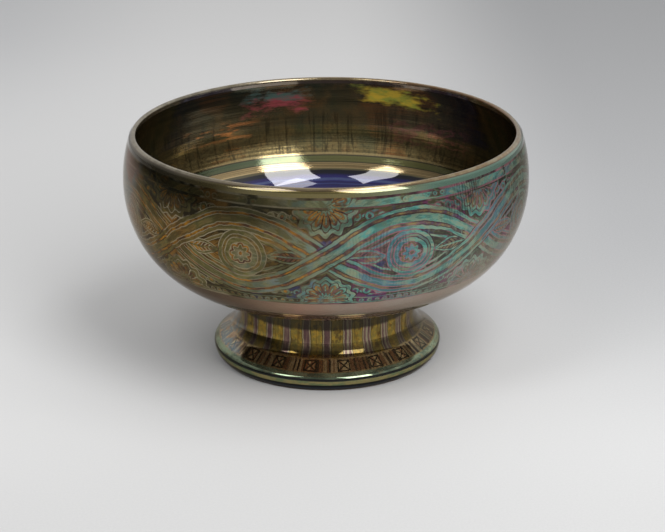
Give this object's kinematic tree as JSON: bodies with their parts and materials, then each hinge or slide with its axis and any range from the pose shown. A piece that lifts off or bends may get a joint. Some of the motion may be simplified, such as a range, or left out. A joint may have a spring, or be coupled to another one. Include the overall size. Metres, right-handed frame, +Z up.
{
  "type": "footed bowl",
  "caption": "Deep round bowl whose wall leans in to a rounded lip, on a short hollow pedestal foot that flares to a rounded edge; glazed all over except the foot ring.",
  "frame": {"origin": "centre of the foot ring, on the surface that the bowl stands on", "axes": "+Z up along the axis of the bowl; -Y towards the viewer in the picture's view"},
  "size_m": [0.2, 0.2, 0.1165],
  "materials": {
    "bare_clay": "unglazed, matt",
    "lip_lustre": "glossy gold lustre glaze",
    "pattern_lustre": "glossy lustre glaze with a painted band, brown gold to sea green",
    "underside_lustre": "glossy plain lustre glaze, pinkish grey",
    "foot_lustre": "glossy lustre glaze with painted stripes and rings",
    "inner_lustre": "glossy dark olive and bronze lustre glaze",
    "cobalt_glaze": "glossy deep cobalt blue glaze",
    "hollow_glaze": "glossy thin dark glaze"
  },
  "bodies": {
    "root": {"bowl_body": "bare_clay", "luting_slip": "bare_clay", "foot_body": "bare_clay", "rim_glaze": "lip_lustre", "pattern_glaze": "pattern_lustre", "underside_glaze": "underside_lustre", "foot_glaze": "foot_lustre", "inner_wall_glaze": "inner_lustre", "well_glaze": "cobalt_glaze", "foot_hollow_glaze": "hollow_glaze"}
  },
  "joints": []
}
